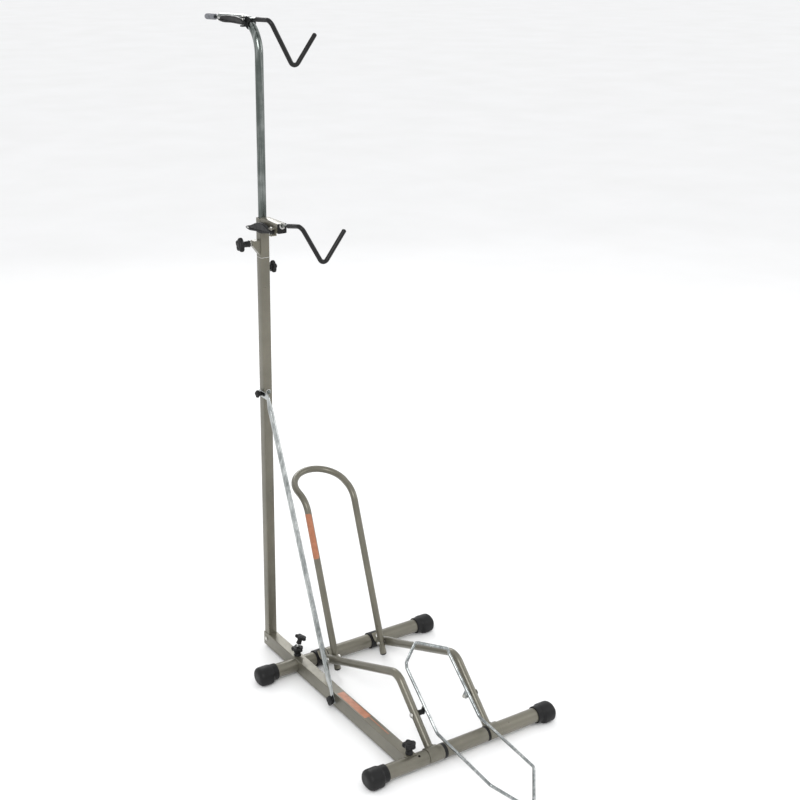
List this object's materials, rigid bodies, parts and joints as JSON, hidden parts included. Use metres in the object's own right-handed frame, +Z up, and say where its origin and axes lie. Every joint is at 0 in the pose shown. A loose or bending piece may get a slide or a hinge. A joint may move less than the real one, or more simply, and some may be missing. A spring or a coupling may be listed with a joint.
{
  "type": "bicycle stand",
  "caption": "Bicycle stand with a wheel hoop and a rocking wire cradle in a footed base, and a telescopic mast with adjustable V-shaped hooks that hold the bicycle up.",
  "frame": {"origin": "on the floor, under the middle of the stand's overall box; x = 0 is the plane of the wheel", "axes": "+Z up along the mast, +X to the right (away from the mast), +Y to the rear, towards the mast; the wheel rolls in from +Y and its cradle's nose is at -Y"},
  "size_m": [0.576, 1.2501, 1.7343],
  "materials": {
    "olive_paint": "satin metallic olive-grey paint",
    "chrome_plate": "polished",
    "black_plastic": "fine moulded grain",
    "black_vinyl": "smooth dipped vinyl",
    "zinc_fastener": "bright zinc plate"
  },
  "bodies": {
    "stand": {"front_foot_tube_left": "olive_paint", "front_foot_tube_middle": "olive_paint", "front_foot_tube_right": "olive_paint", "front_joint_ring_left": "black_plastic", "front_joint_ring_right": "black_plastic", "front_joint_spigot_left": "zinc_fastener", "front_joint_spigot_right": "zinc_fastener", "front_foot_cap_left": "black_plastic", "front_foot_cap_right": "black_plastic", "rear_foot_cap_left": "black_plastic", "rear_foot_cap_right": "black_plastic", "rear_foot_tube": "olive_paint", "rear_collar_left": "black_plastic", "rear_collar_right": "black_plastic", "rail_rear_bolt_left": "zinc_fastener", "rail_rear_bolt_right": "zinc_fastener", "base_beam": "olive_paint", "mast_tube": "olive_paint", "mast_base_bolt": "zinc_fastener", "brace_tube": "chrome_plate", "side_rail_left": "olive_paint", "side_rail_right": "olive_paint", "wheel_hoop": "olive_paint", "hoop_bolt_left": "zinc_fastener", "hoop_bolt_right": "zinc_fastener", "hoop_end_plug_left": "black_plastic", "hoop_end_plug_right": "black_plastic", "cradle_pivot_bolt_left": "zinc_fastener", "cradle_pivot_bolt_right": "zinc_fastener", "cradle_spacer_left": "black_plastic", "cradle_spacer_right": "black_plastic"},
    "pole": {"chrome_pole": "chrome_plate", "pole_foot_plug": "black_plastic", "tail_end_plug": "black_plastic", "upper_cam_clamp": "black_plastic", "upper_cam_pin": "zinc_fastener"},
    "upper_lever": {"upper_cam_lever": "black_plastic"},
    "upper_reach": {"upper_stop_collar": "black_plastic"},
    "upper_hook": {"upper_hook_rod": "chrome_plate", "upper_hook_sleeve": "black_vinyl", "upper_rod_end_cap": "black_plastic"},
    "carriage": {"hook_carriage": "olive_paint", "stub_end_plug": "black_plastic", "lower_cam_pin": "zinc_fastener"},
    "lower_lever": {"lower_cam_lever": "black_plastic"},
    "lower_reach": {"lower_stop_collar": "zinc_fastener"},
    "lower_hook": {"lower_hook_rod": "chrome_plate", "lower_hook_sleeve": "black_vinyl"},
    "cradle": {"cradle_wire": "chrome_plate"},
    "carriage_clamp": {"carriage_knob": "black_plastic", "carriage_screw": "zinc_fastener"},
    "mast_clamp": {"mast_top_knob": "black_plastic"},
    "front_beam_screw": {"front_beam_knob": "black_plastic"},
    "rear_beam_screw": {"rear_beam_knob": "black_plastic"},
    "toggle": {"toggle_knob": "black_plastic", "toggle_screw": "zinc_fastener"},
    "brace_lower": {"brace_lower_knob": "black_plastic", "brace_lower_screw": "zinc_fastener"},
    "brace_upper": {"brace_upper_knob": "black_plastic", "brace_upper_screw": "zinc_fastener"}
  },
  "joints": [
    {"name": "pole_height", "type": "slide", "parent": "stand", "child": "pole", "axis": [0, 0, 1], "range_m": [-0.32, 0.18]},
    {"name": "carriage_height", "type": "slide", "parent": "stand", "child": "carriage", "axis": [0, 0, 1], "range_m": [0, 0.39]},
    {"name": "upper_reach_slide", "type": "slide", "parent": "pole", "child": "upper_reach", "axis": [0, -0.9994, 0.0349], "range_m": [-0.018, 0.024]},
    {"name": "upper_swivel", "type": "hinge", "parent": "upper_reach", "child": "upper_hook", "pos_m": [-0.155, 0.38, 1.72518], "axis": [0, -0.9994, 0.0349], "range_deg": [-90, 90]},
    {"name": "upper_cam", "type": "hinge", "parent": "pole", "child": "upper_lever", "pos_m": [-0.1777, 0.385, 1.7185], "axis": [0, 0, 1], "range_deg": [0, 120]},
    {"name": "lower_reach_slide", "type": "slide", "parent": "carriage", "child": "lower_reach", "axis": [0, -0.9848, 0.1736], "range_m": [-0.025, 0.02]},
    {"name": "lower_swivel", "type": "hinge", "parent": "lower_reach", "child": "lower_hook", "pos_m": [-0.155, 0.25, 1.2395], "axis": [0, -0.9848, 0.1736], "range_deg": [-90, 90]},
    {"name": "lower_cam", "type": "hinge", "parent": "carriage", "child": "lower_lever", "pos_m": [-0.178, 0.261, 1.2248], "axis": [0, 0, 1], "range_deg": [0, 120]},
    {"name": "cradle_rock", "type": "hinge", "parent": "stand", "child": "cradle", "pos_m": [0, -0.271, 0.096], "axis": [1, 0, 0], "range_deg": [-45, 0]},
    {"name": "carriage_knob_turn", "type": "hinge", "parent": "carriage", "child": "carriage_clamp", "pos_m": [-0.194, 0.348, 1.179], "axis": [-1, 0, 0], "range_deg": [0, 360]},
    {"name": "mast_knob_turn", "type": "hinge", "parent": "stand", "child": "mast_clamp", "pos_m": [-0.1422, 0.348, 1.111], "axis": [1, 0, 0], "range_deg": [0, 360]},
    {"name": "front_beam_knob_turn", "type": "hinge", "parent": "stand", "child": "front_beam_screw", "pos_m": [-0.155, -0.34, 0.0463], "axis": [0, 0, 1], "range_deg": [0, 360]},
    {"name": "rear_beam_knob_turn", "type": "hinge", "parent": "stand", "child": "rear_beam_screw", "pos_m": [-0.155, 0.198, 0.0463], "axis": [0, 0, 1], "range_deg": [0, 360]},
    {"name": "toggle_turn", "type": "hinge", "parent": "rear_beam_screw", "child": "toggle", "pos_m": [-0.155, 0.198, 0.0719], "axis": [0.3577, -0.0599, 0.9319], "range_deg": [0, 360]},
    {"name": "brace_lower_knob_turn", "type": "hinge", "parent": "stand", "child": "brace_lower", "pos_m": [-0.1731, -0.0145, 0.0255], "axis": [-1, 0, 0], "range_deg": [0, 360]},
    {"name": "brace_upper_knob_turn", "type": "hinge", "parent": "stand", "child": "brace_upper", "pos_m": [-0.1731, 0.346, 0.7715], "axis": [-1, 0, 0], "range_deg": [0, 360]}
  ]
}
